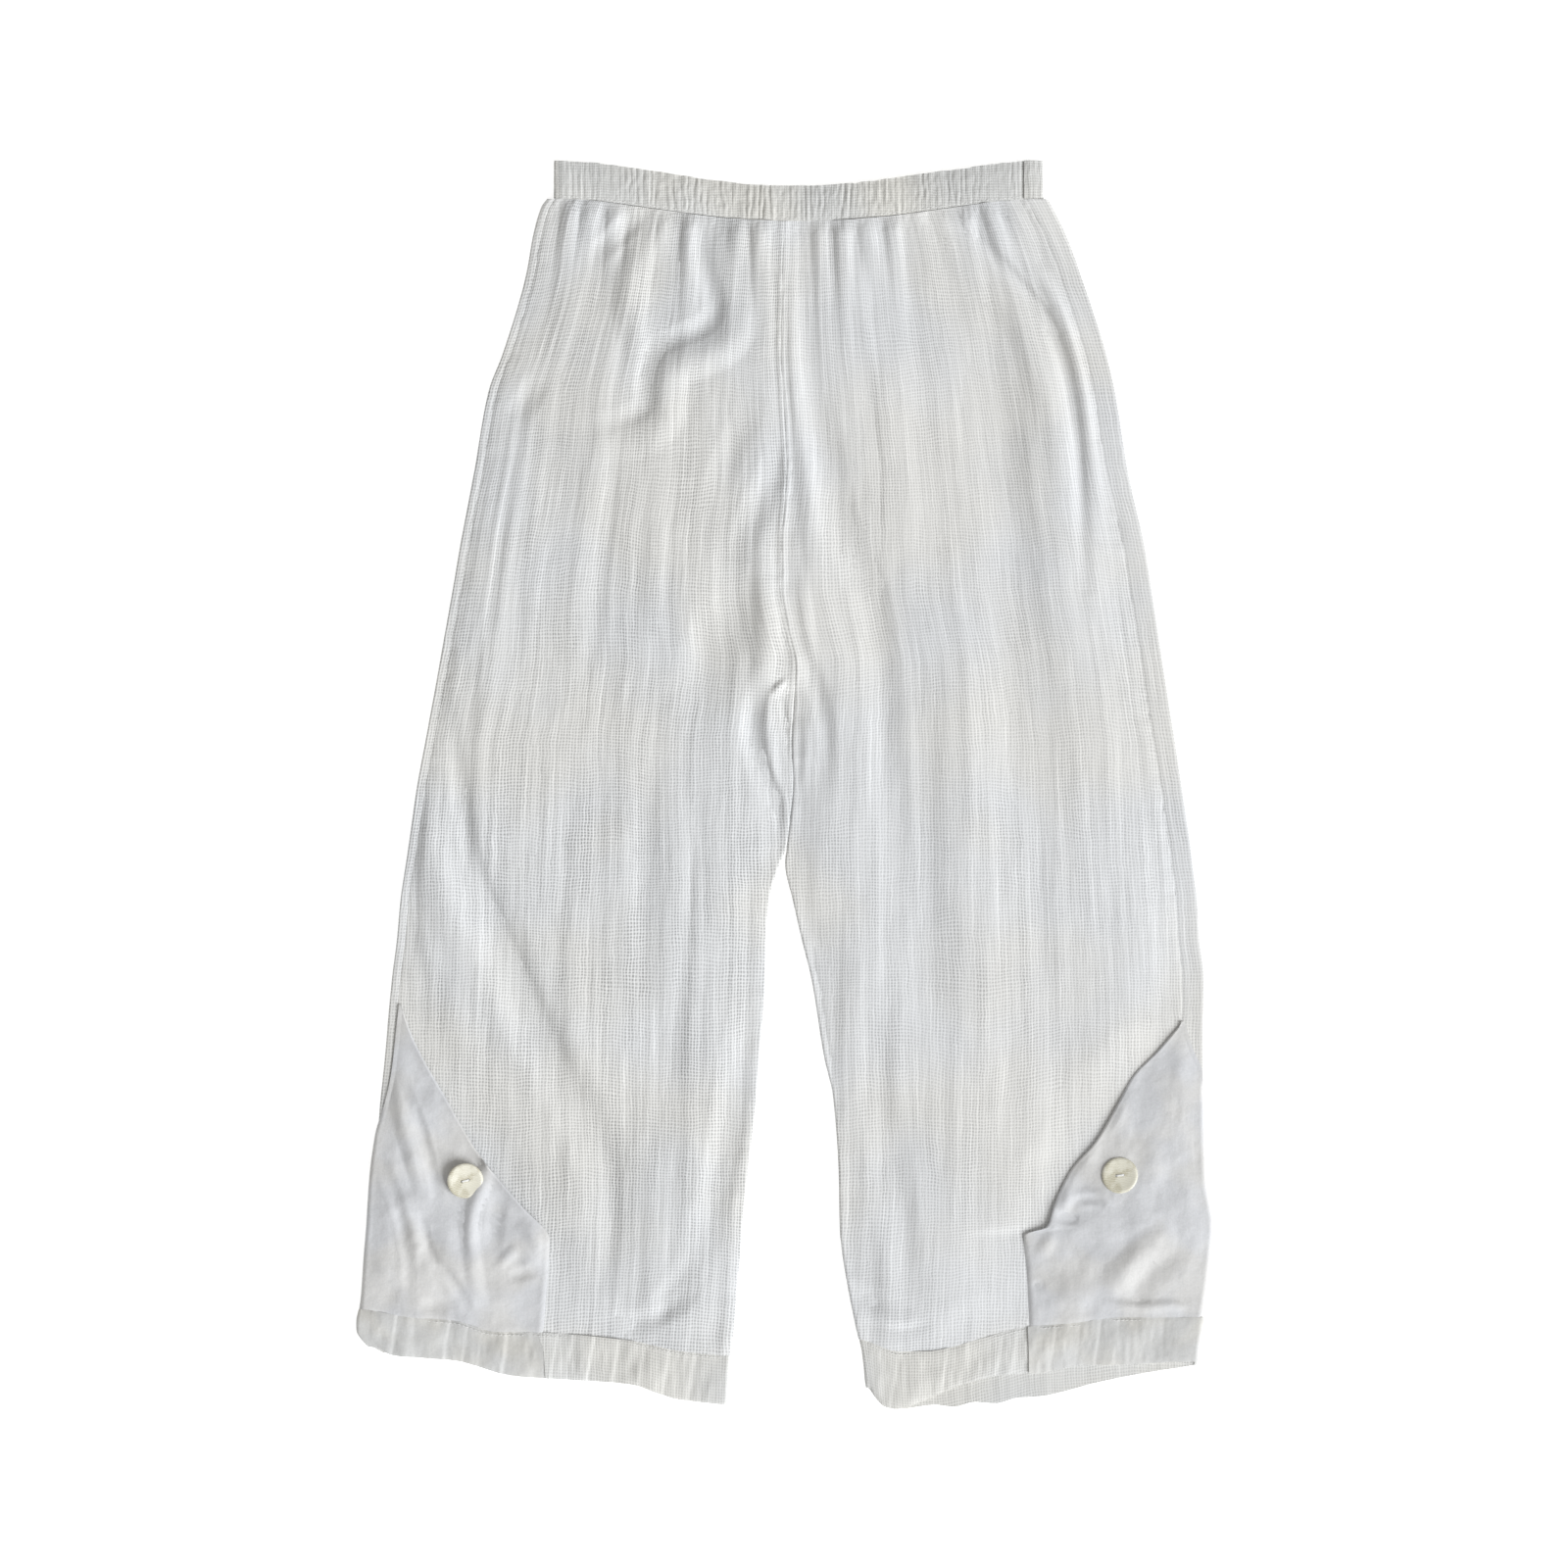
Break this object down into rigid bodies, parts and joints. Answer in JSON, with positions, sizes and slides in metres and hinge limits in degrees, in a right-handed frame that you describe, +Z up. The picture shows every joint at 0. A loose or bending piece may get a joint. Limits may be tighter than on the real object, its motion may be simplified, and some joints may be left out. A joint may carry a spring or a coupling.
{
  "type": "gaucho pants",
  "caption": "Wide-leg pull-on trousers in open gauze weave, laid flat, with a gathered waistband and smooth buttoned side panels at the hems.",
  "frame": {"origin": "on the surface the garment lies on, below the centre of its bounding box", "axes": "+X towards the wearer's left side, +Y from the hems to the waist, +Z up from the back to the front of the garment"},
  "size_m": [0.6117, 0.8926, 0.0136],
  "materials": {
    "gauze": "matte open gauze weave",
    "plain_cloth": "matte smooth plain weave",
    "pearl": "polished mother-of-pearl"
  },
  "bodies": {
    "root": {"front_right": "gauze", "front_left": "gauze", "back_right": "gauze", "back_left": "gauze", "waistband_front": "gauze", "waistband_back": "gauze", "front_hem_right": "gauze", "front_hem_left": "gauze", "back_hem_right": "gauze", "back_hem_left": "gauze", "side_panel_right": "plain_cloth", "side_panel_left": "plain_cloth", "side_hem_right": "plain_cloth", "side_hem_left": "plain_cloth", "button_right": "pearl", "button_left": "pearl"}
  },
  "joints": []
}
